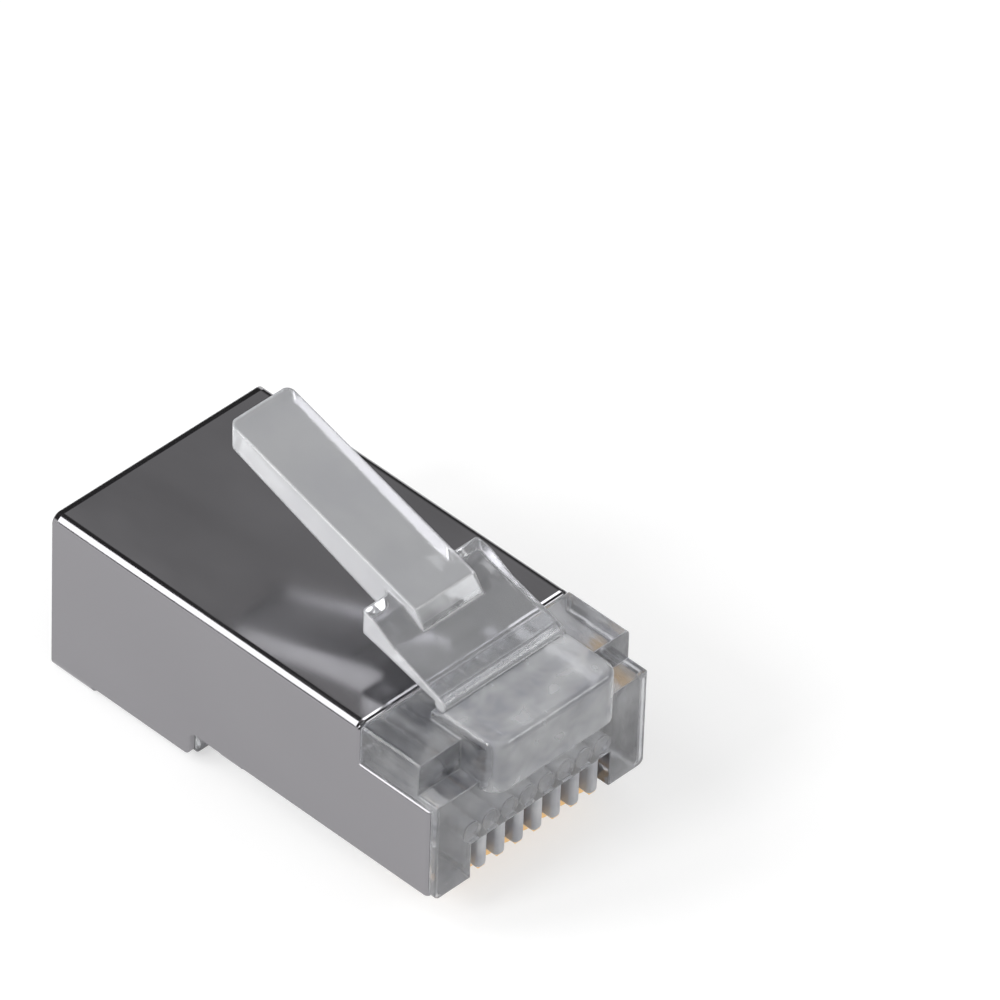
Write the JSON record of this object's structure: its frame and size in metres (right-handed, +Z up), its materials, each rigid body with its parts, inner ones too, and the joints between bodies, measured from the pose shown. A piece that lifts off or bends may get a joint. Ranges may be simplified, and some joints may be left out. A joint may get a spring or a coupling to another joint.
{
  "type": "modular plug",
  "caption": "Shielded modular plug with a clear moulded body, a folded metal shield, a row of gold blades and a spring latch.",
  "frame": {"origin": "middle of the bounding box on its lowest plane, the underside of the shield's flaps", "axes": "+X across the plug; -Y towards the nose that enters the jack, +Y towards the cable; +Z up to the latch"},
  "size_m": [0.0116, 0.022, 0.0136],
  "materials": {
    "clear_plastic": "clear, slightly clouded moulding",
    "clear_latch": "clear, slightly clouded moulding",
    "nickel": "bright nickel plate on thin sheet",
    "gold": "gold plate"
  },
  "bodies": {
    "plug_body": {"housing": "clear_plastic", "shield": "nickel", "contact_1": "gold", "contact_2": "gold", "contact_3": "gold", "contact_4": "gold", "contact_5": "gold", "contact_6": "gold", "contact_7": "gold", "contact_8": "gold"},
    "latch": {"latch_tab": "clear_latch"}
  },
  "joints": [
    {"name": "latch_flex", "type": "hinge", "parent": "plug_body", "child": "latch", "pos_m": [0, -0.00775, 0.00855], "axis": [-1, 0, 0], "range_deg": [0, 18], "stiffness_Nm_per_rad": 0.1}
  ]
}
